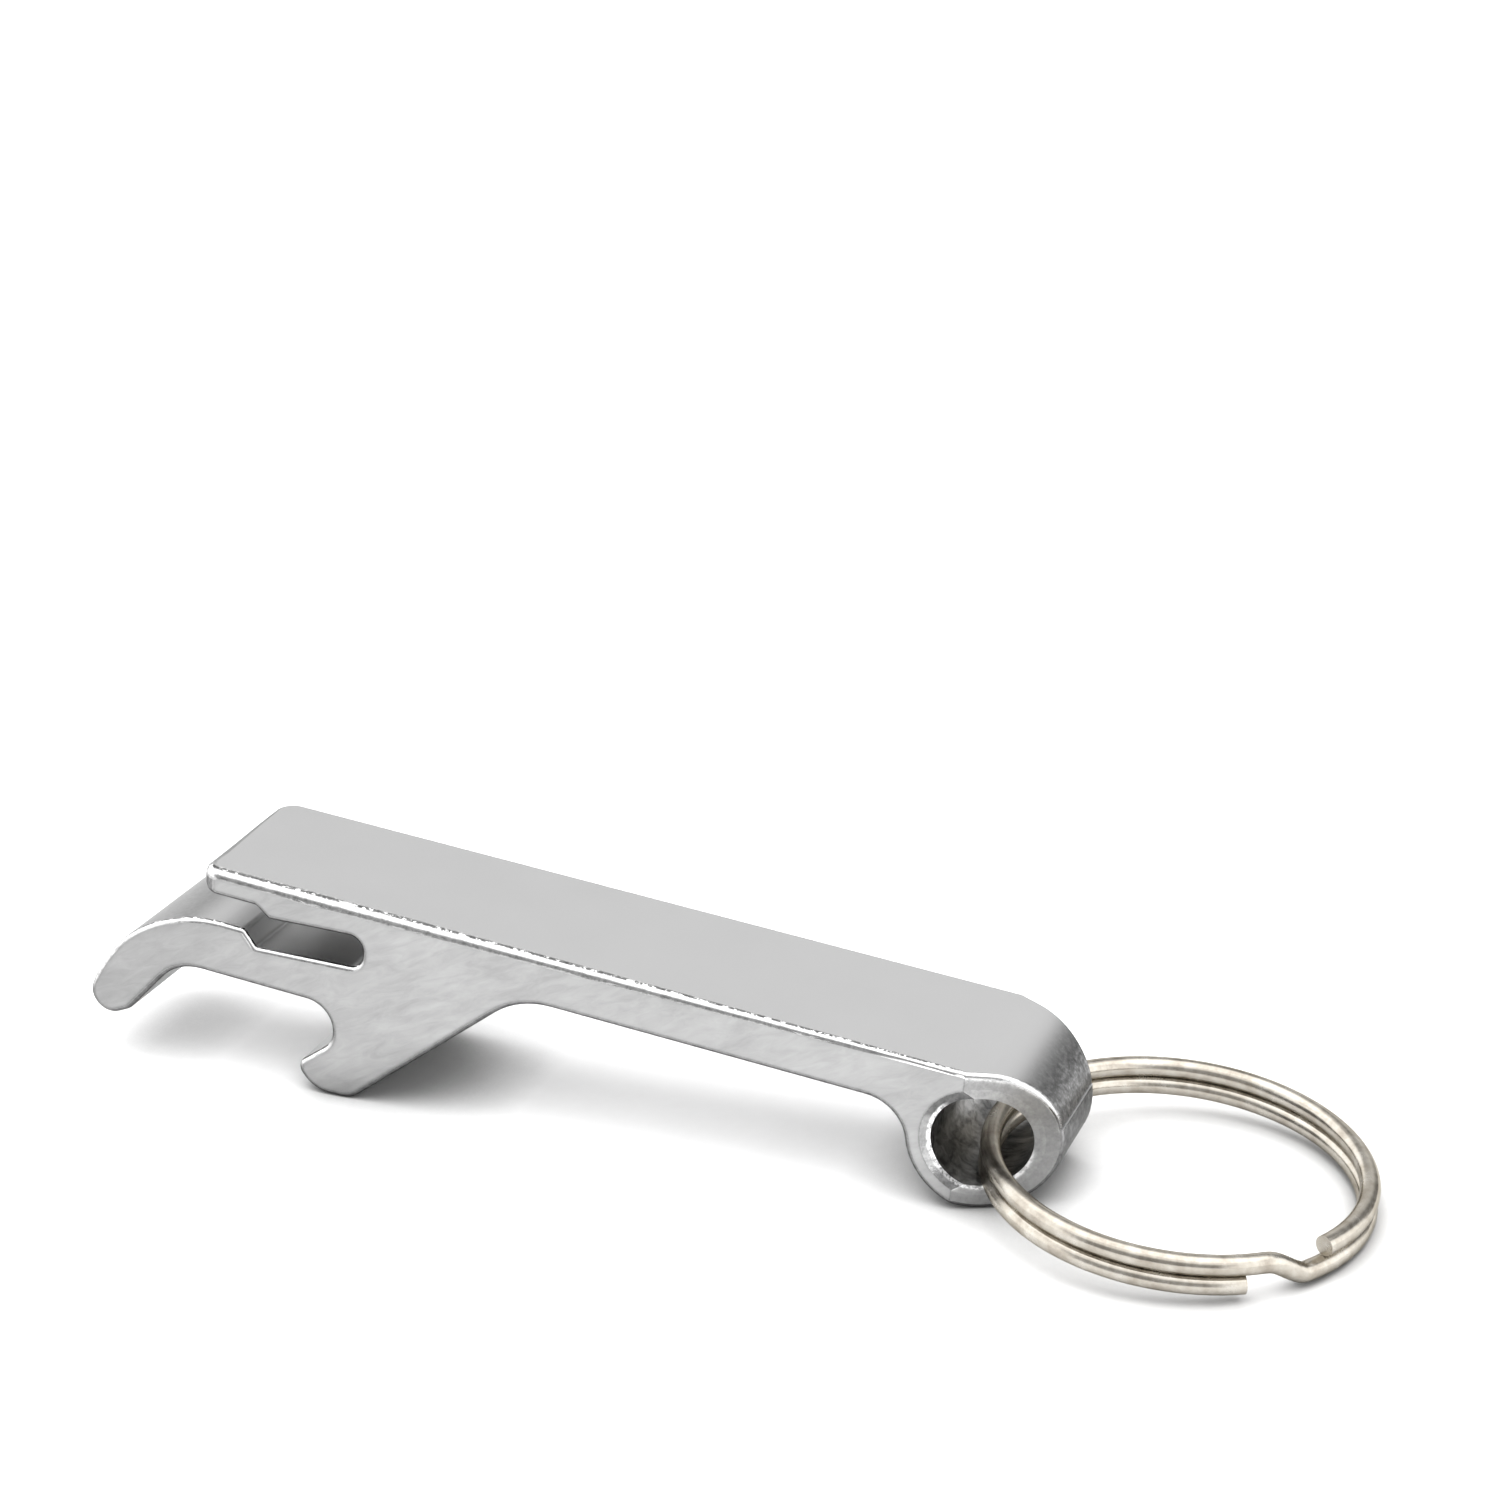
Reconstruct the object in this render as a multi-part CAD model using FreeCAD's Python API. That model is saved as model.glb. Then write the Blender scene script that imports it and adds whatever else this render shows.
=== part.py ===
import FreeCAD, Part
import math
import os

# Keychain bottle opener: one extruded and tumbled aluminium lever with a crown-cap claw,
# a can-tab slot and an eye, and a two-turn split ring through the eye.
#
# Profile frame, in millimetres: X runs from the plate's nose to the ring, Z is up from
# the plate's top face, Y is across the width and 0 at its middle. The finished parts are
# then stood on the bench, which tilts them by STAND_ANGLE, with the origin at the middle
# of the whole object's footprint.

# ---- driving dimensions of the lever ----
WIDTH = 12.0
NOSE_X = -0.3             # front end of the plate
PLATE_NOSE = 1.9          # thickness of the plate in front of the slot
HANDLE = 3.5              # thickness of the handle behind the claw
EYE_X = 56.2              # eye and bore centre, along the lever
EYE_RADIUS = 4.93         # the top face runs tangent into the eye
BORE_RADIUS = 3.2
DISH_RADIUS = 3.85        # shallow countersink round both mouths of the bore
DISH_DEPTH = 0.3
NECK_RADIUS = 2.95        # concave blend from the handle's underside into the eye
TAPER_START = 1.3         # both sides narrow from this far in front of the bore's centre
TAPER_SLOPE = 0.437       # and each loses this much width per length
PLAN_CORNER = 1.4         # plan radius of the two corners of the plate's nose
TUMBLED_EDGE = 0.35       # rounding that tumbling leaves on every long edge
NOSE_EDGE = 0.75          # larger rounding along the front of the plate
STAND_ANGLE = 6.23        # slope of the top face when the lever rests on lip and eye
DIE_LINE_ANGLE = 16.0     # where a fine line crosses the eye's outer end, from level
DIE_LINE_RADIUS = 0.13

# ---- driving dimensions of the split ring ----
WIRE_RADIUS = 0.665
COIL_RADIUS = 12.06       # middle of the wire
LAYER_GAP = 0.02          # the turns lie on each other with this much air
RING_TILT = 1.39          # rise of the ring's far end from the top face's direction
WEST_DX = -0.3            # middle of the wire bundle inside the bore, from the bore's
WEST_DZ = -1.6            # centre: it lies on the lower wall
END_A_ANGLE = -55.5       # where the lower turn ends, seen from above, 0 pointing away
END_B_ANGLE = -28.0       # where the upper turn begins
KINK_RUN = 16.0           # angle over which the wire steps down a turn

EYE_Z = -EYE_RADIUS


def point(x, z, y=0.0):
    return FreeCAD.Vector(x, y, z)


def rounded_path(corners):
    """Edges of a path through (x, z, radius) corners: a radius of 0 leaves one sharp."""
    edges = []
    last = point(*corners[0][:2])
    for before, here, after in zip(corners, corners[1:], corners[2:]):
        corner = point(*here[:2])
        if here[2] == 0.0:
            edges.append(Part.LineSegment(last, corner).toShape())
            last = corner
            continue
        back = (point(*before[:2]) - corner).normalize()
        ahead = (point(*after[:2]) - corner).normalize()
        half = back.getAngle(ahead) / 2.0
        run = here[2] / math.tan(half)
        centre = corner + (back + ahead).normalize() * (here[2] / math.sin(half))
        start = corner + back * run
        end = corner + ahead * run
        middle = centre + (corner - centre).normalize() * here[2]
        edges.append(Part.LineSegment(last, start).toShape())
        edges.append(Part.Arc(start, middle, end).toShape())
        last = end
    edges.append(Part.LineSegment(last, point(*corners[-1][:2])).toShape())
    return edges


def neck_centre():
    """Centre of the blend that touches the handle's underside and the eye."""
    rise = -HANDLE - NECK_RADIUS - EYE_Z
    reach = math.sqrt((EYE_RADIUS + NECK_RADIUS) ** 2 - rise ** 2)
    return point(EYE_X - reach, -HANDLE - NECK_RADIUS)


def lever_face():
    """Side profile of the lever, as one closed face."""
    neck = neck_centre()
    corners = [
        (EYE_X, 0.0, 0.0),
        # plate nose and its underside, up to the ramp into the slot
        (NOSE_X, 0.0, 0.0),
        (NOSE_X, -PLATE_NOSE, 0.0),
        (4.1, -PLATE_NOSE, 0.4),
        (5.15, -2.68, 0.45),
        # closed end of the can-tab slot, and its lower side
        (12.3, -2.17, 1.0),
        (12.3, -4.53, 1.05),
        (4.15, -5.1, 0.3),
        (3.2, -3.95, 0.5),
        # outside of the claw's arm, its nose, and its inside
        (-6.27, -3.95, 10.9),
        (-10.0, -15.03, 1.5),
        (-5.76, -12.74, 1.25),
        (-2.0, -8.0, 4.0),
        # throat and lip of the claw
        (10.25, -8.0, 2.0),
        (10.2, -10.85, 1.65),
        (7.5, -13.2, 0.8),
        (8.8, -14.93, 2.5),
        (11.85, -14.77, 2.0),
        # leg, up to the handle's underside
        (23.93, -HANDLE, 6.0),
        (neck.x, -HANDLE, 0.0),
    ]
    edges = rounded_path(corners)
    eye = point(EYE_X, EYE_Z)
    touch = neck + (eye - neck).normalize() * NECK_RADIUS
    bend = (point(neck.x, -HANDLE) + touch) * 0.5
    middle = neck + (bend - neck).normalize() * NECK_RADIUS
    edges.append(Part.Arc(point(neck.x, -HANDLE), middle, touch).toShape())
    far_side = point(EYE_X + EYE_RADIUS, EYE_Z)
    edges.append(Part.Arc(touch, far_side, point(EYE_X, 0.0)).toShape())
    return Part.Face(Part.Wire(Part.__sortEdges__(edges)))


def end_taper(side):
    """Wedge that narrows one side of the eye towards its outer end."""
    start = EYE_X - TAPER_START
    length = EYE_RADIUS + TAPER_START + 2.0
    edge = side * WIDTH / 2.0
    outline = [
        FreeCAD.Vector(start, edge, 1.0),
        FreeCAD.Vector(start + length, edge - side * TAPER_SLOPE * length, 1.0),
        FreeCAD.Vector(start + length, edge + side, 1.0),
        FreeCAD.Vector(start, edge + side, 1.0),
    ]
    wedge = Part.Face(Part.makePolygon(outline + outline[:1]))
    return wedge.extrude(FreeCAD.Vector(0.0, 0.0, -2.0 * EYE_RADIUS - 2.0))


def nose_corner(side):
    """Waste outside one rounded plan corner of the plate's nose."""
    height = PLATE_NOSE + 0.6
    low = -PLATE_NOSE - 0.3
    size = PLAN_CORNER + 1.0
    centre = FreeCAD.Vector(NOSE_X + PLAN_CORNER, side * (WIDTH / 2.0 - PLAN_CORNER), low)
    corner_y = min(centre.y, centre.y + side * size)
    box = Part.makeBox(size, size, height, FreeCAD.Vector(NOSE_X - 1.0, corner_y, low))
    return box.cut(Part.makeCylinder(PLAN_CORNER, height, centre))


def dish(side):
    """Countersink at one mouth of the bore."""
    mouth = FreeCAD.Vector(EYE_X, side * WIDTH / 2.0, EYE_Z)
    inward = FreeCAD.Vector(0.0, -side, 0.0)
    return Part.makeCone(DISH_RADIUS, BORE_RADIUS, DISH_DEPTH, mouth, inward)


def die_line():
    """Fine line across the outer end of the eye."""
    angle = math.radians(DIE_LINE_ANGLE)
    start = FreeCAD.Vector(
        EYE_X + EYE_RADIUS * math.cos(angle), -WIDTH / 2.0, EYE_Z + EYE_RADIUS * math.sin(angle)
    )
    return Part.makeCylinder(DIE_LINE_RADIUS, WIDTH, start, FreeCAD.Vector(0.0, 1.0, 0.0))


def is_taper_start(edge):
    """True for the upright line where a side begins to taper."""
    start = EYE_X - TAPER_START
    on_line = all(abs(vertex.X - start) < 0.01 for vertex in edge.Vertexes)
    return on_line and len(edge.Vertexes) == 2


def edge_radii(edge):
    """Rounding at the start and end of an edge of the lever, or None to leave it sharp."""
    middle = edge.valueAt((edge.FirstParameter + edge.LastParameter) / 2.0)
    ends = [edge.valueAt(edge.FirstParameter), edge.valueAt(edge.LastParameter)]
    if abs(middle.x - NOSE_X) < 0.01 and abs(middle.y) < 0.01:
        return NOSE_EDGE, NOSE_EDGE
    if abs(ends[0].y - ends[1].y) > WIDTH / 3.0 or abs(middle.y) < WIDTH / 6.0:
        return None
    if is_taper_start(edge) or abs(ends[0].z - ends[1].z) > PLATE_NOSE - 0.1 and is_nose(ends):
        return None
    if is_nose(ends) and abs(ends[0].y - ends[1].y) > PLAN_CORNER / 2.0:
        return tuple(NOSE_EDGE if end.x < NOSE_X + 0.01 else TUMBLED_EDGE for end in ends)
    return TUMBLED_EDGE, TUMBLED_EDGE


def is_nose(ends):
    """True for an edge that lies wholly on the rounded plan corners of the plate."""
    return all(end.x < NOSE_X + PLAN_CORNER + 0.01 and end.z > -PLATE_NOSE - 0.01 for end in ends)


def round_edges(solid):
    """Tumbles the lever: one rounding pass with its own radii for each edge."""
    document = FreeCAD.newDocument("tumbling")
    sharp = document.addObject("Part::Feature", "sharp")
    sharp.Shape = solid
    rounded = document.addObject("Part::Fillet", "rounded")
    rounded.Base = sharp
    radii = [(number, edge_radii(edge)) for number, edge in enumerate(solid.Edges, 1)]
    rounded.Edges = [(number,) + pair for number, pair in radii if pair]
    document.recompute()
    return rounded.Shape


def make_opener_body():
    lever = lever_face().extrude(FreeCAD.Vector(0.0, WIDTH, 0.0))
    lever.translate(FreeCAD.Vector(0.0, -WIDTH / 2.0, 0.0))
    for side in (-1, 1):
        lever = lever.cut(end_taper(side))
        lever = lever.cut(nose_corner(side))
    lever = round_edges(lever)
    across = FreeCAD.Vector(0.0, 1.0, 0.0)
    bore_start = FreeCAD.Vector(EYE_X, -WIDTH / 2.0, EYE_Z)
    lever = lever.cut(Part.makeCylinder(BORE_RADIUS, WIDTH, bore_start, across))
    for side in (-1, 1):
        lever = lever.cut(dish(side))
    return lever.cut(die_line()).Solids[0]


def coil_point(angle, height):
    """Middle of the wire at an angle seen from above, in the ring's own frame."""
    turn = math.radians(angle)
    return FreeCAD.Vector(COIL_RADIUS * math.cos(turn), COIL_RADIUS * math.sin(turn), height)


def wire_turn(start, sweep, height):
    """A flat turn of round wire."""
    centre = FreeCAD.Vector(COIL_RADIUS, 0.0, height)
    section = Part.Circle(centre, FreeCAD.Vector(0.0, 1.0, 0.0), WIRE_RADIUS)
    face = Part.Face(Part.Wire(section.toShape()))
    turn = face.revolve(FreeCAD.Vector(0.0, 0.0, 0.0), FreeCAD.Vector(0.0, 0.0, 1.0), sweep)
    turn.rotate(FreeCAD.Vector(0.0, 0.0, 0.0), FreeCAD.Vector(0.0, 0.0, 1.0), start)
    return turn


def wire_kink(start, upper, lower):
    """Where the wire steps down from the upper turn to the lower one."""
    fractions = [0.0, 0.25, 0.5, 0.75, 1.0]
    points = []
    for part in fractions:
        ease = (1.0 - math.cos(math.pi * part)) / 2.0
        points.append(coil_point(start + KINK_RUN * part, upper + (lower - upper) * ease))
    spine = Part.BSplineCurve()
    first = math.radians(start)
    last = math.radians(start + KINK_RUN)
    along_first = FreeCAD.Vector(-math.sin(first), math.cos(first), 0.0)
    along_last = FreeCAD.Vector(-math.sin(last), math.cos(last), 0.0)
    spine.interpolate(Points=points, InitialTangent=along_first, FinalTangent=along_last)
    section = Part.Wire(Part.Circle(points[0], along_first, WIRE_RADIUS).toShape())
    return Part.Wire(spine.toShape()).makePipeShell([section], True, True)


def make_split_ring():
    """Two turns of wire: the upper one steps down and runs on as the lower one."""
    level = WIRE_RADIUS + LAYER_GAP / 2.0
    kink_start = (END_A_ANGLE + END_B_ANGLE - KINK_RUN) / 2.0
    upper = wire_turn(END_B_ANGLE, 360.0 + kink_start - END_B_ANGLE, level)
    lower_start = kink_start + KINK_RUN
    lower = wire_turn(lower_start, 360.0 + END_A_ANGLE - lower_start, -level)
    ring = upper.fuse([wire_kink(kink_start, level, -level), lower]).removeSplitter().Solids[0]
    tilt = math.radians(RING_TILT)
    ring.rotate(FreeCAD.Vector(0.0, 0.0, 0.0), FreeCAD.Vector(0.0, -1.0, 0.0), RING_TILT)
    ring.translate(FreeCAD.Vector(
        EYE_X + WEST_DX + COIL_RADIUS * math.cos(tilt),
        0.0,
        EYE_Z + WEST_DZ + COIL_RADIUS * math.sin(tilt),
    ))
    return ring


def stand_on_bench(shapes):
    """Tilt the parts as they rest, and put the origin at the middle of the footprint."""
    for shape in shapes:
        shape.rotate(FreeCAD.Vector(0.0, 0.0, 0.0), FreeCAD.Vector(0.0, 1.0, 0.0), STAND_ANGLE)
    box = Part.makeCompound(shapes).optimalBoundingBox(False)
    shift = FreeCAD.Vector(-box.Center.x, -box.Center.y, -box.ZMin)
    for shape in shapes:
        shape.translate(shift)


def main():
    parts = {"opener_body": make_opener_body(), "split_ring": make_split_ring()}
    stand_on_bench(list(parts.values()))
    os.makedirs("parts", exist_ok=True)
    for name, shape in parts.items():
        shape.exportStep("parts/" + name + ".step")
        print(name, shape.isValid(), round(shape.Volume, 2), "mm3", shape.BoundBox)


main()
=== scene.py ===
import math
import bpy
from mathutils import Matrix, Vector


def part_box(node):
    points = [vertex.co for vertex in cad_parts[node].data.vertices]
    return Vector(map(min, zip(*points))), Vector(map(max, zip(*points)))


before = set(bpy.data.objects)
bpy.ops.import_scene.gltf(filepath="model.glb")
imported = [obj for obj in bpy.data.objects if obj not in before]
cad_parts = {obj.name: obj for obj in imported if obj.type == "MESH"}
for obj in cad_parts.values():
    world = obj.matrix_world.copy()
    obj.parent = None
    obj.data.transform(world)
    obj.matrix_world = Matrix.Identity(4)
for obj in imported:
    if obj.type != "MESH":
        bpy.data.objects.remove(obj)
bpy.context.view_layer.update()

# Sizes of the opener in metres. Places along the lever are measured from the bore's axis,
# towards the eye's end, and heights from the same axis. LEVER_TILT is in radians.
EYE_RADIUS = 0.00493
BORE_RADIUS = 0.0032
DISH_RADIUS = 0.00388
LEVER_TILT = 0.108734
CLAW_NOSE = -0.066
ARC_END = -0.053
SLOT_FROM, SLOT_TO = -0.0521, -0.0432
SLOT_FLOOR, SLOT_ROOF = -0.00015, 0.003
EDGE_BAND_WIDTH = 0.0006

# Grey levels of the metal's base colour, as (noise level, grey level) stops.
TOP_STOPS = [(0.3, 0.605), (0.7, 0.62)]
SIDE_STOPS = [(0.36, 0.30), (0.5, 0.34), (0.66, 0.385)]
# The sides are darker towards the claw: (share of the way from its nose to the bore, factor).
CLAW_SHADE = [(0.0, 0.78), (0.3, 0.95), (0.6, 1.0)]
# Each of these layers is painted over the ones before it: region, noise and stops.
LAYERS = [
    # painted dark reflection: the tapered sides of the eye are darkened
    ("taper", "frost", [(0.3, 0.25), (0.7, 0.34)]),
    ("dish", "frost", [(0.3, 0.26), (0.7, 0.40)]),
    # frosted eye end, darkened with a painted dark reflection
    ("eye_end", "frost", [(0.32, 0.10), (0.52, 0.20), (0.72, 0.40)]),
    # painted shade on the inner faces of the claw's arc
    ("arc_back_painted_shade", "frost", [(0.3, 0.30), (0.7, 0.38)]),
    # painted highlight along the top edge of the taper
    ("painted_glint", "frost", [(0.38, 0.45), (0.55, 0.95)]),
    # painted dark reflection on the downward roundings and the flat strips beside them
    ("painted_dark_edge", "frost", [(0.3, 0.09), (0.7, 0.20)]),
    # painted dark reflection line with bright specks along the upper rounded edges
    ("painted_edge_line", "frost", [(0.35, 0.05), (0.52, 0.12), (0.6, 0.80)]),
    # painted grey reflection band below the upper edge's highlight
    ("painted_under_edge_line", "frost", [(0.35, 0.30), (0.6, 0.55)]),
    # painted shade inside the bore
    ("bore_painted_shade", "streaks", [(0.35, 0.20), (0.65, 0.55)]),
    # painted highlight sparkling on the lower rim of the bore
    ("painted_bore_sparkle", "frost", [(0.4, 0.30), (0.52, 0.95)]),
    # painted shade inside the slot
    ("slot_painted_shade", "cloud", [(0.3, 0.33), (0.7, 0.45)]),
]
NICKEL_STOPS = [
    (0.3, (0.29, 0.26, 0.22)), (0.5, (0.40, 0.372, 0.325)), (0.7, (0.50, 0.475, 0.43)),
]

# The paper under the object, and how near the object its painted contact shadow reaches.
FLOOR_HALF = 1.5
PAPER_STOPS = [(0.3, 0.93), (0.7, 0.95)]
CONTACT_SHADOW_REACH = 0.007
CONTACT_SHADOW_STOPS = [(0.3, 0.28), (0.62, 0.72), (0.95, 1.0)]

# The studio tent. WALL and ROOF run from the back wall's foot (0) over the roof to the front (1),
# SIDES and ENDS from the claw's side (0) to the ring's side (1).
TENT_LEVEL = 2.6
WALL = [(0.0, 0.47), (0.18, 0.47), (0.24, 0.0), (1.0, 0.0)]
ROOF = [
    (0.0, 0.0), (0.17, 0.0), (0.24, 0.07), (0.32, 0.09),
    (0.40, 0.85), (0.72, 0.85), (0.82, 0.25), (1.0, 0.2),
]
SIDES = [(0.0, 1.0), (0.5, 1.0), (0.7, 0.28), (1.0, 0.5)]
ENDS = [(0.0, 1.0), (0.14, 0.9), (0.24, 0.0), (0.78, 0.0), (0.88, 0.9), (1.0, 1.0)]


# ---------------------------------------------------------------- materials

def fill_ramp(ramp, stops):
    """Sets a colour ramp's stops from (position, grey level or colour) pairs."""
    ramp.elements.remove(ramp.elements[1])
    for number, (position, value) in enumerate(stops):
        element = ramp.elements[0] if number == 0 else ramp.elements.new(position)
        element.position = position
        colour = (value, value, value) if isinstance(value, (int, float)) else value
        element.color = tuple(colour) + (1.0,)


class Nodes:
    """Short way to build a material's node tree."""

    def __init__(self, name):
        self.material = bpy.data.materials.new(name)
        self.material.use_nodes = True
        self.tree = self.material.node_tree
        self.shader = self.tree.nodes["Principled BSDF"]

    def fill(self, socket, value):
        """Links a socket to value, or sets it to value."""
        if isinstance(value, bpy.types.NodeSocket):
            self.tree.links.new(value, socket)
        else:
            socket.default_value = value

    def add(self, kind, inputs=None, **settings):
        node = self.tree.nodes.new(kind)
        for key, value in settings.items():
            setattr(node, key, value)
        for key, value in (inputs or {}).items():
            self.fill(node.inputs[key], value)
        return node

    def set(self, name, value):
        self.fill(self.shader.inputs[name], value)

    def place(self, scale=(1.0, 1.0, 1.0), turn=(0.0, 0.0, 0.0)):
        """Object coordinates in metres, turned and then scaled."""
        coordinates = self.add("ShaderNodeTexCoord")
        turned = self.add("ShaderNodeMapping", {"Vector": coordinates.outputs["Object"], "Rotation": turn})
        scaled = self.add("ShaderNodeMapping", {"Vector": turned.outputs["Vector"], "Scale": scale})
        return scaled.outputs["Vector"]

    def noise(self, scale, detail=3.0, rough=0.5, place=None, distortion=0.0):
        node = self.add("ShaderNodeTexNoise", {
            "Vector": place or self.place(), "Scale": scale, "Detail": detail,
            "Roughness": rough, "Distortion": distortion,
        })
        return node.outputs["Fac"]

    def ramp(self, factor, stops):
        node = self.add("ShaderNodeValToRGB", {"Fac": factor})
        fill_ramp(node.color_ramp, stops)
        return node.outputs["Color"]

    def blend(self, kind, factor, under, over):
        """Blends two colours; the socket numbers are those of a colour Mix node."""
        node = self.add("ShaderNodeMix", {0: factor}, data_type="RGBA", blend_type=kind)
        self.fill(node.inputs[6], under)
        self.fill(node.inputs[7], over)
        return node.outputs[2]

    def range(self, value, low, high, to_low, to_high):
        node = self.add("ShaderNodeMapRange", {
            "Value": value, "From Min": low, "From Max": high, "To Min": to_low, "To Max": to_high,
        })
        return node.outputs["Result"]

    def calc(self, kind, first, second=0.0):
        node = self.add("ShaderNodeMath", {0: first, 1: second}, operation=kind)
        return node.outputs["Value"]

    def plus(self, first, second):
        return self.calc("ADD", first, second)

    def times(self, *values):
        result = values[0]
        for value in values[1:]:
            result = self.calc("MULTIPLY", result, value)
        return result

    def inverse(self, value):
        return self.calc("SUBTRACT", 1.0, value)

    def above(self, value, low, high):
        """0 below low, 1 above high, smooth between them."""
        node = self.add("ShaderNodeMapRange", {
            "Value": value, "From Min": low, "From Max": high,
        }, interpolation_type="SMOOTHSTEP")
        return node.outputs["Result"]

    def below(self, value, low, high):
        """1 below low, 0 above high, smooth between them."""
        return self.inverse(self.above(value, low, high))

    def dot(self, vector, other):
        node = self.add("ShaderNodeVectorMath", {0: vector, 1: other}, operation="DOT_PRODUCT")
        return node.outputs["Value"]

    def bump(self, height, strength, distance):
        inputs = {"Height": height, "Strength": strength, "Distance": distance}
        return self.add("ShaderNodeBump", inputs).outputs["Normal"]


def lever_regions(m):
    """Masks, 0 to 1, of the opener's faces and edges, and the place along the lever."""
    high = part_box("opener_body")[1]
    coordinates = m.add("ShaderNodeTexCoord")
    bore_axis = (high[0] - EYE_RADIUS, 0.0, EYE_RADIUS)
    spot = m.add("ShaderNodeVectorMath", {
        0: coordinates.outputs["Object"], 1: bore_axis,
    }, operation="SUBTRACT").outputs["Vector"]
    normal = coordinates.outputs["Normal"]

    # lever directions: along to the eye, up from the top face, and out through a side
    cosine, sine = math.cos(LEVER_TILT), math.sin(LEVER_TILT)
    along_axis, up_axis, side_axis = (cosine, 0.0, -sine), (sine, 0.0, cosine), (0.0, 1.0, 0.0)
    along, up = m.dot(spot, along_axis), m.dot(spot, up_axis)
    facing_along, facing_up = m.dot(normal, along_axis), m.dot(normal, up_axis)
    facing_side = m.calc("ABSOLUTE", m.dot(normal, side_axis))
    from_bore = m.calc("SQRT", m.plus(m.times(along, along), m.times(up, up)))

    # a normal bent over the nearest edge finds the strips of flat face beside it, where a painted dark
    # band and a painted glint go
    bent_normal = m.add("ShaderNodeBevel", {"Radius": EDGE_BAND_WIDTH}, samples=8).outputs["Normal"]
    bent_side = m.calc("ABSOLUTE", m.dot(bent_normal, side_axis))
    bent_up = m.dot(bent_normal, up_axis)

    # the plan taper at the eye faces 0.4 along the lever and 0.9165 to the side
    taper = m.above(m.plus(m.times(facing_along, 0.4), m.times(facing_side, 0.9165)), 0.985, 0.995)
    flat_side = m.above(facing_side, 0.965, 0.995)
    rounding = m.times(m.above(facing_side, 0.12, 0.3), m.inverse(flat_side), m.inverse(taper))
    downward = m.below(facing_up, -0.05, 0.4)
    upper_rounding = m.times(rounding, m.inverse(downward), m.below(along, -0.003, 0.0))
    # flat strips beside the lower edges, where a dark reflection is painted
    painted_dark_band = m.times(m.below(bent_side, 0.97, 0.9999), m.below(bent_up, -0.02, 0.3),
                     flat_side, m.inverse(taper))
    regions = {
        "taper": taper,
        "flat_side": flat_side,
        "rounding": rounding,
        # downward roundings and the strips beside them, where a dark reflection is painted
        "painted_dark_edge": m.calc("MAXIMUM", m.times(rounding, downward), painted_dark_band),
        # bands of the upper rounded edges, where dark reflection lines are painted
        "painted_edge_line": m.times(upper_rounding, m.below(facing_side, 0.4, 0.6)),
        "painted_under_edge_line": m.times(upper_rounding, m.above(facing_side, 0.82, 0.92)),
        # top strip of the taper, where a highlight is painted
        "painted_glint": m.times(taper, m.above(bent_up, 0.06, 0.22)),
        # lower rim of the bore, where a sparkling highlight is painted
        "painted_bore_sparkle": m.times(m.below(from_bore, BORE_RADIUS + 0.00018, BORE_RADIUS + 0.0003),
                        m.above(facing_side, 0.5, 0.7), m.below(m.plus(along, up), -0.0012, 0.0004)),
        # inner faces of the claw's arc, where shade is painted
        "arc_back_painted_shade": m.times(m.below(facing_along, -0.3, -0.04), m.below(facing_side, 0.1, 0.3),
                            m.below(along, ARC_END - 0.003, ARC_END + 0.003)),
        # inside of the bore, where shade is painted
        "bore_painted_shade": m.times(m.below(from_bore, BORE_RADIUS + 0.00002, BORE_RADIUS + 0.0001),
                           m.below(facing_side, 0.3, 0.5)),
        "dish": m.times(m.below(from_bore, DISH_RADIUS - 0.00004, DISH_RADIUS + 0.00004),
                        m.above(facing_side, 0.6, 0.85)),
        # inside of the slot, where shade is painted
        "slot_painted_shade": m.times(m.above(along, SLOT_FROM - 0.0002, SLOT_FROM + 0.0002),
                           m.below(along, SLOT_TO - 0.0002, SLOT_TO + 0.0002),
                           m.above(up, SLOT_FLOOR - 0.00015, SLOT_FLOOR + 0.00015),
                           m.below(up, SLOT_ROOF - 0.0001, SLOT_ROOF + 0.0001),
                           m.below(facing_side, 0.2, 0.6)),
        "eye_end": m.times(m.above(facing_along, 0.25, 0.75), m.above(along, 0.0, 0.0025),
                           m.below(facing_side, 0.3, 0.6)),
    }
    return regions, along


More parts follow.
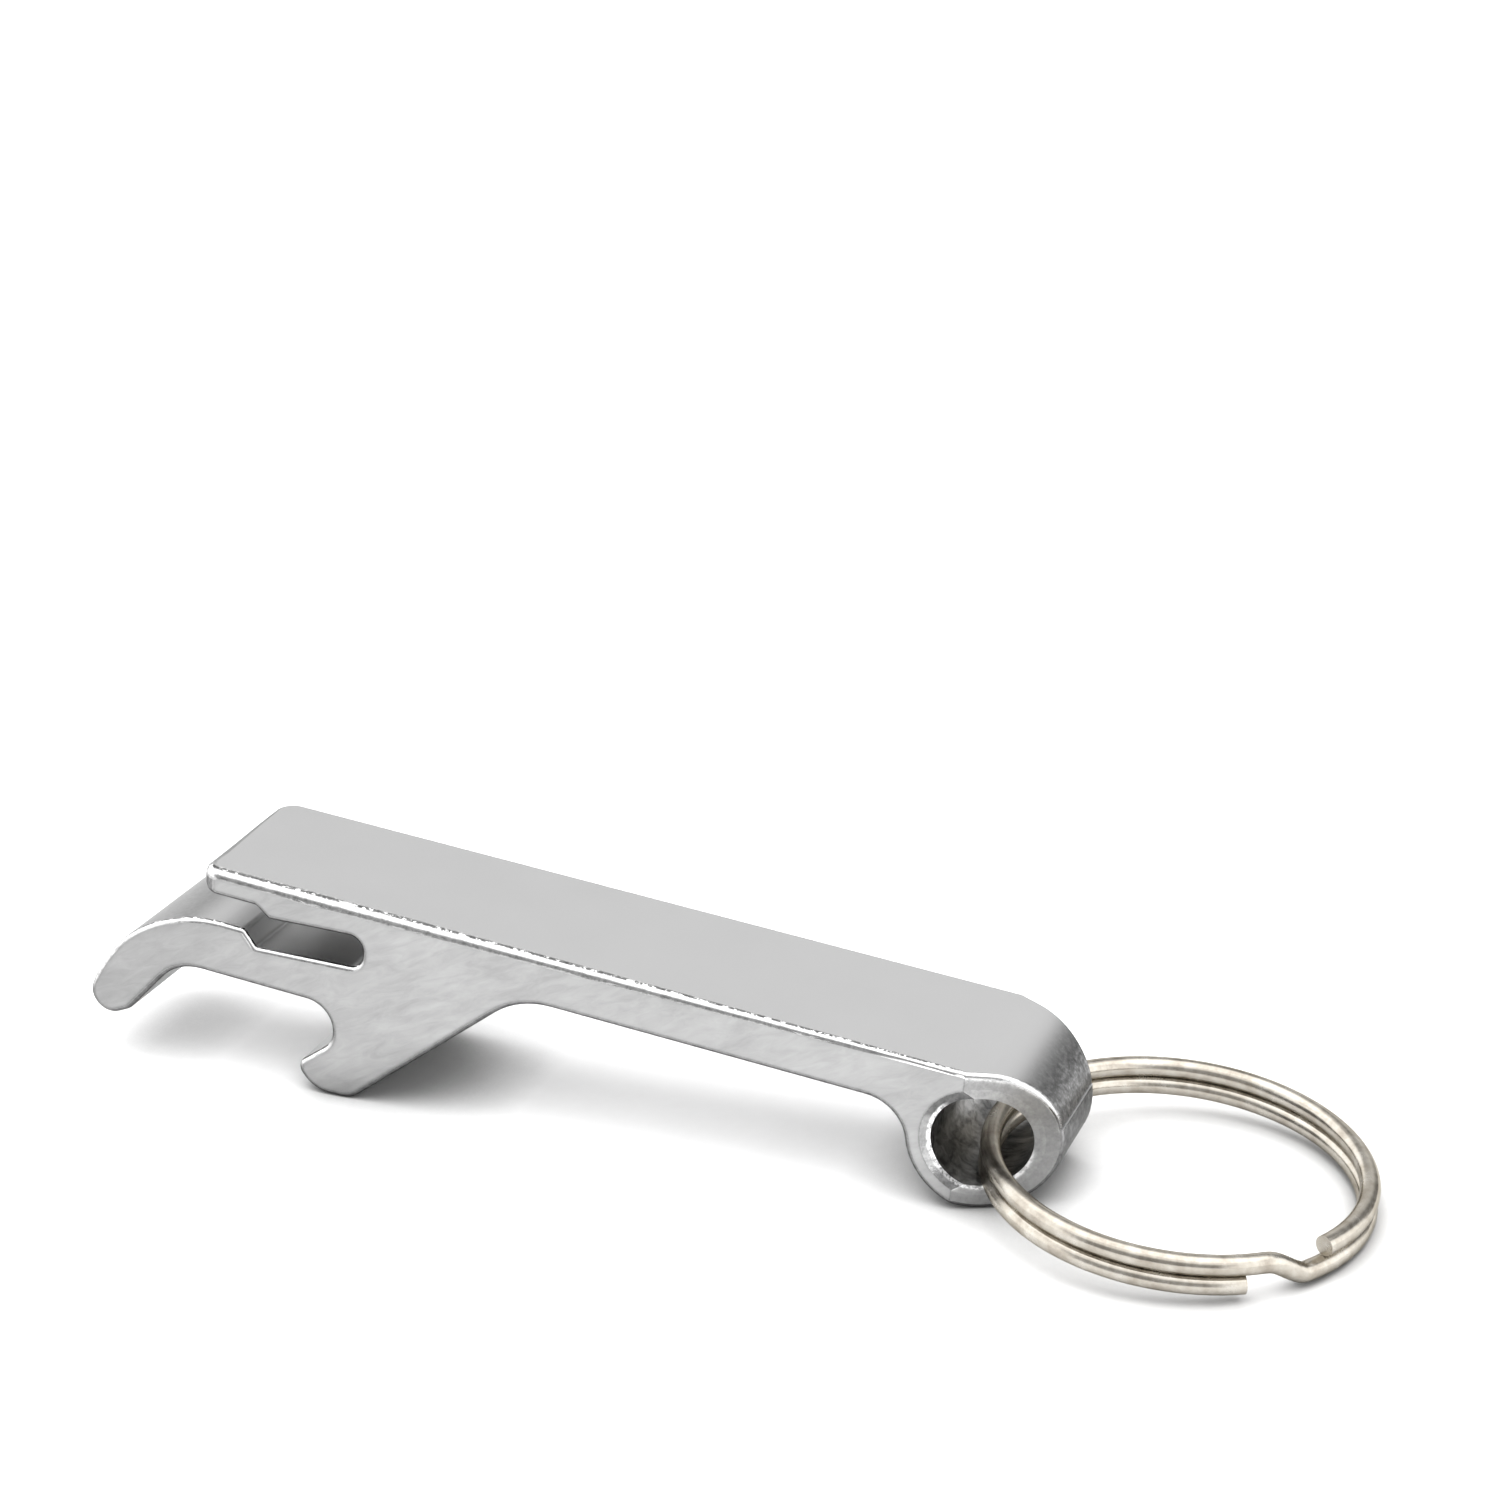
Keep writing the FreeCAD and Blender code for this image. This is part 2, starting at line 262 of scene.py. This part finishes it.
def anodised_aluminium():
    """Satin silver anodising: smooth top, mottled sides, polished edges, frosted eye end. Painted shade in
    the bore, slot and claw, and painted reflections and highlights on the edges, taper and eye end.
    """
    m = Nodes("anodised_aluminium")
    regions, along = lever_regions(m)
    noises = {
        # die streaks that run along the lever and slightly down, and tumbling marks
        "streaks": m.noise(1250.0, 4.0, 0.66, m.place((0.3, 1.0, 1.1), (0.0, 0.42, 0.0)), 0.8),
        "blotches": m.noise(430.0, 3.0, 0.55, m.place((0.5, 1.0, 1.0), (0.0, 0.3, 0.0))),
        "grain": m.noise(6500.0, 3.0, 0.6),
        "frost": m.noise(2600.0, 4.0, 0.7),
        "cloud": m.noise(150.0, 2.0, 0.5),
    }

    marks = m.plus(m.times(noises["streaks"], 0.6), m.times(noises["blotches"], 0.4))
    shade = m.ramp(m.range(along, CLAW_NOSE, 0.0, 0.0, 1.0), CLAW_SHADE)
    side_tone = m.blend("MULTIPLY", 1.0, m.ramp(marks, SIDE_STOPS), shade)
    tone = m.blend("MIX", regions["flat_side"], m.ramp(noises["cloud"], TOP_STOPS), side_tone)
    for region, noise, stops in LAYERS:
        tone = m.blend("MIX", regions[region], tone, m.ramp(noises[noise], stops))
    m.set("Base Color", tone)
    m.set("Metallic", 1.0)
    m.set("Specular Tint", (0.5, 0.5, 0.5, 1.0))

    polish = m.times(regions["rounding"], 0.2)
    m.set("Roughness", m.calc("SUBTRACT", m.range(noises["grain"], 0.3, 0.7, 0.29, 0.36), polish))
    streak_depth = m.plus(m.times(regions["flat_side"], 1.7), 0.05)
    frost_depth = m.plus(m.times(regions["eye_end"], 2.0), m.times(regions["rounding"], 0.9))
    height = m.plus(m.times(noises["grain"], 0.25), m.times(noises["streaks"], streak_depth))
    height = m.plus(height, m.times(noises["frost"], frost_depth))
    m.set("Normal", m.bump(height, 0.5, 0.00002))
    return m.material


def nickel_wire():
    """Bright nickel plate, cloudy and finely marked."""
    m = Nodes("nickel_wire")
    cloud = m.noise(700.0, 4.0, 0.6)
    fine = m.noise(5200.0, 3.0, 0.6)
    m.set("Base Color", m.ramp(cloud, NICKEL_STOPS))
    m.set("Metallic", 1.0)
    m.set("Specular Tint", (0.62, 0.6, 0.56, 1.0))
    m.set("Roughness", m.range(cloud, 0.35, 0.65, 0.17, 0.28))
    m.set("Normal", m.bump(m.plus(m.times(fine, 0.15), cloud), 0.22, 0.00002))
    return m.material


def paper():
    """Plain pale paper with a painted contact shadow where the object nearly touches it."""
    m = Nodes("paper")
    # painted contact shadow: the paper darkens where the object is near
    contact_shadow = m.add("ShaderNodeAmbientOcclusion", {"Distance": CONTACT_SHADOW_REACH}, samples=12).outputs["AO"]
    tone = m.ramp(m.noise(900.0), PAPER_STOPS)
    m.set("Base Color", m.blend("MULTIPLY", 1.0, tone, m.ramp(contact_shadow, CONTACT_SHADOW_STOPS)))
    m.set("Roughness", 0.9)
    m.set("Specular IOR Level", 0.1)
    return m.material


def paint(name, material):
    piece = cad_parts[name]
    piece.data.materials.clear()
    piece.data.materials.append(material)


# ---------------------------------------------------------------- floor, light and camera

def make_floor():
    half = FLOOR_HALF
    mesh = bpy.data.meshes.new("floor")
    corners = [(-half, -half, 0.0), (half, -half, 0.0), (half, half, 0.0), (-half, half, 0.0)]
    mesh.from_pydata(corners, [], [(0, 1, 2, 3)])
    floor = bpy.data.objects.new("floor", mesh)
    bpy.context.scene.collection.objects.link(floor)
    floor.data.materials.append(paper())


def make_softbox(name, place, width, height, power):
    """A rectangular light that faces the middle of the object's footprint."""
    light = bpy.data.lights.new(name, "AREA")
    light.shape = "RECTANGLE"
    light.size = width
    light.size_y = height
    light.energy = power
    lamp = bpy.data.objects.new(name, light)
    bpy.context.scene.collection.objects.link(lamp)
    lamp.location = place
    lamp.rotation_euler = (-Vector(place)).to_track_quat("-Z", "Y").to_euler()


def make_world():
    """A studio tent: a lit back wall, a dark gap, an open roof over the bench and a dim front."""
    world = bpy.data.worlds.new("studio")
    world.use_nodes = True
    tree = world.node_tree
    direction = tree.nodes.new("ShaderNodeTexCoord").outputs["Generated"]
    split = tree.nodes.new("ShaderNodeSeparateXYZ")
    tree.links.new(direction, split.inputs["Vector"])

    def combine(kind, first, second):
        node = tree.nodes.new("ShaderNodeMath")
        node.operation = kind
        for index, value in enumerate((first, second)):
            if isinstance(value, bpy.types.NodeSocket):
                tree.links.new(value, node.inputs[index])
            else:
                node.inputs[index].default_value = value
        return node.outputs["Value"]

    def curve(value, stops):
        ramp = tree.nodes.new("ShaderNodeValToRGB")
        tree.links.new(value, ramp.inputs["Fac"])
        ramp.color_ramp.interpolation = "EASE"
        fill_ramp(ramp.color_ramp, stops)
        return ramp.outputs["Color"]

    # half turns from the back wall's foot, over the roof, to the front
    over = combine("DIVIDE", combine("ARCTAN2", split.outputs["Z"], split.outputs["Y"]), math.pi)
    across = combine("ADD", combine("MULTIPLY", split.outputs["X"], 0.5), 0.5)
    level = combine("ADD", combine("MULTIPLY", curve(over, WALL), curve(across, SIDES)), curve(over, ROOF))
    level = combine("MAXIMUM", level, curve(across, ENDS))
    background = tree.nodes["Background"]
    background.inputs["Color"].default_value = (1.0, 1.0, 1.0, 1.0)
    tree.links.new(combine("MULTIPLY", level, TENT_LEVEL), background.inputs["Strength"])
    bpy.context.scene.world = world


def make_camera():
    camera = bpy.data.cameras.new("camera")
    camera.sensor_width = 36.0
    camera.lens = 76.9457
    camera.clip_start = 0.01
    camera.dof.use_dof = False
    eye = bpy.data.objects.new("camera", camera)
    bpy.context.scene.collection.objects.link(eye)
    right = Vector((0.927579, 0.373179, -0.018332))
    down = Vector((0.125332, -0.357, -0.925658))
    ahead = Vector((-0.351981, 0.856323, -0.377917))
    turn = Matrix((right, -down, -ahead)).transposed()
    eye.matrix_world = Matrix.Translation((0.075423, -0.175784, 0.104917)) @ turn.to_4x4()
    bpy.context.scene.camera = eye


paint("opener_body", anodised_aluminium())
paint("split_ring", nickel_wire())
make_floor()
make_softbox("overhead", (0.0, 0.08, 0.5), 0.9, 0.7, 1.6)
make_world()
make_camera()
bpy.context.scene.view_settings.view_transform = "Standard"
